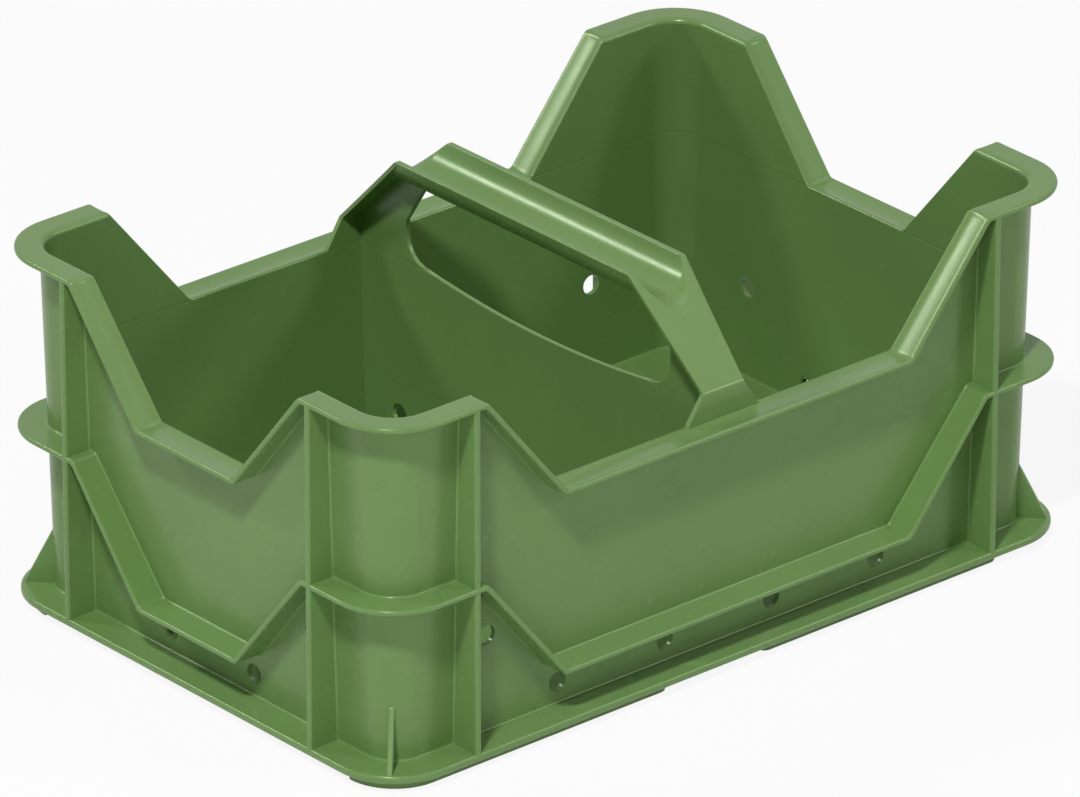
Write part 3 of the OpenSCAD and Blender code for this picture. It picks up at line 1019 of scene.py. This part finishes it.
TUB_MIDDLE = Vector((0, 0, RIM_TOP / 2))
CORNER_INSET = 20 * MM
NEAR_CORNER = Vector((CORNER_INSET - HALF_L, CORNER_INSET - HALF_W, RIM_TOP / 2))

# Lamps: turn to the right from the front and height in degrees, distance in metres,
# width in degrees as seen from the tub, and the point that the lamp is turned to
LAMPS = {
    "key": (-56.5, 55.5, 6, 5.5, TUB_MIDDLE),
    "rim_light": (-146, 36, 4, 10, TUB_MIDDLE),
    "top_fill": (60, 60, 4, 35, TUB_MIDDLE),
    "side_fill": (42, 26, 4, 12, TUB_MIDDLE),
    "corner_fill": (-46, 8, 0.6, 20, NEAR_CORNER),
}

# Floor, and a painted reflection: a patch in front of the near corner that the plastic mirrors as full
# white at its middle, which lightens the near corner post
FLOOR_HALF = 6
FLOOR_WHITE = (0.9, 0.9, 0.9, 1)
GLOW_SPOT_X = -0.42
GLOW_SPOT_Y = -0.37
GLOW_SPOT_R = 0.35

# Surroundings and camera
WHITE = (1, 1, 1, 1)
SEEN_RAYS = ("Is Camera Ray", "Is Transmission Ray", "Is Glossy Ray")
SENSOR_W = 36
FAR_CLIP = 100


def bearing(azimuth, elevation):
    """Direction to a place round the tub: turned from the front to the right, and up."""
    level = math.cos(elevation)
    return Vector((math.sin(azimuth) * level, -math.cos(azimuth) * level, math.sin(elevation)))


def turned_to(context, name, data, aim, towards, distance):
    """Stands a lamp or a camera at a distance from the point that it is turned to."""
    holder = bpy.data.objects.new(name, data)
    holder.location = aim + towards * distance
    holder.rotation_euler = (-towards).to_track_quat("-Z", "Y").to_euler()
    context.scene.collection.objects.link(holder)
    return holder


def soft_light(context, name, strength):
    """A round lamp from its row of LAMPS; the strength is what falls on the tub."""
    azimuth, elevation, distance, width, aim = LAMPS[name]
    towards = bearing(math.radians(azimuth), math.radians(elevation))
    lamp = bpy.data.lights.new(name, "AREA")
    lamp.shape = "DISK"
    lamp.size = 2 * distance * math.tan(math.radians(width / 2))
    lamp.energy = strength * math.pi * distance ** 2
    holder = turned_to(context, name, lamp, aim, towards, distance)
    holder.visible_camera = False


def picture_camera(context, studio):
    """The camera that takes the picture, with a long lens."""
    towards = bearing(studio.azimuth, studio.elevation)
    lens = bpy.data.cameras.new("camera")
    lens.sensor_width = SENSOR_W
    lens.sensor_fit = "HORIZONTAL"
    lens.lens = studio.lens
    lens.clip_end = FAR_CLIP
    aim = Vector(studio.target)
    context.scene.camera = turned_to(context, "camera", lens, aim, towards, studio.distance)


def plain_view(paint, mirrored):
    """One for rays that show the bare surroundings, less for the plastic's mirror image of them."""
    direct, through, glossy = paint.wires("ShaderNodeLightPath", SEEN_RAYS)
    return direct + through + glossy * mirrored


def pale_floor(studio):
    """White floor that the camera sees almost bare, with a faint shadow, and a glowing patch that the
    plastic mirrors, a painted reflection.
    """
    material = bpy.data.materials.new("pale_floor")
    paint = Paint(material)
    lit = paint.wire("ShaderNodeBsdfDiffuse", 0, {"Color": FLOOR_WHITE})
    bare = paint.wire("ShaderNodeEmission", 0, {"Color": WHITE, "Strength": 1.0})
    place = paint.wire("ShaderNodeTexCoord", "Object")
    x, y = paint.wires("ShaderNodeSeparateXYZ", "XY", {"Vector": place})
    past_x = x - GLOW_SPOT_X
    past_y = y - GLOW_SPOT_Y
    # Painted reflection: the patch glows whiter in the plastic's mirror image towards its middle
    reflected_glow = (1 - (past_x * past_x + past_y * past_y) * (1 / GLOW_SPOT_R ** 2)).at_least(0)
    mirrored = studio.mirrored + reflected_glow * (1 - studio.mirrored)
    share = plain_view(paint, mirrored) * studio.bareness
    mix = paint.wire("ShaderNodeMixShader", 0, {0: share, 1: lit, 2: bare})
    paint.node("ShaderNodeOutputMaterial", {"Surface": mix})
    return material


def floor_sheet(context, studio):
    """Lays the wide floor that the tub stands on."""
    bm = bmesh.new()
    bmesh.ops.create_grid(bm, x_segments=1, y_segments=1, size=FLOOR_HALF)
    mesh = bpy.data.meshes.new("floor_sheet")
    bm.to_mesh(mesh)
    bm.free()
    sheet = bpy.data.objects.new("floor_sheet", mesh)
    context.scene.collection.objects.link(sheet)
    mesh.materials.append(pale_floor(studio))


def even_light(studio):
    """Faint light all round, white to the camera and in part to the plastic's mirror image."""
    world = bpy.data.worlds.new("even_light")
    paint = Paint(world)
    strength = studio.ambient + plain_view(paint, studio.backdrop) * (1 - studio.ambient)
    light = paint.wire("ShaderNodeBackground", 0, {"Color": WHITE, "Strength": strength})
    paint.node("ShaderNodeOutputWorld", {"Surface": light})
    return world


class TUB_OT_studio(bpy.types.Operator):
    """Sets up the floor, the soft lights, the even surroundings and the camera"""

    bl_idname = "tub.studio"
    bl_label = "Studio"

    def execute(self, context):
        studio = context.scene.tub_studio
        floor_sheet(context, studio)
        for name in LAMPS:
            soft_light(context, name, getattr(studio, name))
        context.scene.world = even_light(studio)
        picture_camera(context, studio)
        context.scene.view_settings.view_transform = "Standard"
        return {"FINISHED"}


class TUB_PT_panel(bpy.types.Panel):
    """Lists the tub's builders and sizes in the sidebar"""

    bl_idname = "TUB_PT_panel"
    bl_label = "Harvest tub"
    bl_space_type = "VIEW_3D"
    bl_region_type = "UI"
    bl_category = "Tub"

    def draw(self, context):
        for operator in OPERATORS:
            self.layout.operator(operator.bl_idname)
        for group in (context.scene.tub_shape, context.scene.tub_finish, context.scene.tub_studio):
            box = self.layout.box()
            for name in group.__annotations__:
                box.prop(group, name)


OPERATORS = (TUB_OT_shell, TUB_OT_ribs, TUB_OT_gussets, TUB_OT_feet, TUB_OT_partition,
             TUB_OT_handle, TUB_OT_studio)
GROUPS = {"tub_shape": TubShape, "tub_finish": TubFinish, "tub_studio": TubStudio}
CLASSES = (*GROUPS.values(), *OPERATORS, TUB_PT_panel)


def register():
    for cls in CLASSES:
        bpy.utils.register_class(cls)
    for name, group in GROUPS.items():
        setattr(bpy.types.Scene, name, bpy.props.PointerProperty(type=group))


def unregister():
    for name in GROUPS:
        delattr(bpy.types.Scene, name)
    for cls in reversed(CLASSES):
        bpy.utils.unregister_class(cls)


def main():
    register()
    bpy.ops.tub.shell()
    bpy.ops.tub.ribs()
    bpy.ops.tub.gussets()
    bpy.ops.tub.feet()
    bpy.ops.tub.partition()
    bpy.ops.tub.handle()
    bpy.ops.tub.studio()


if __name__ == "__main__":
    main()
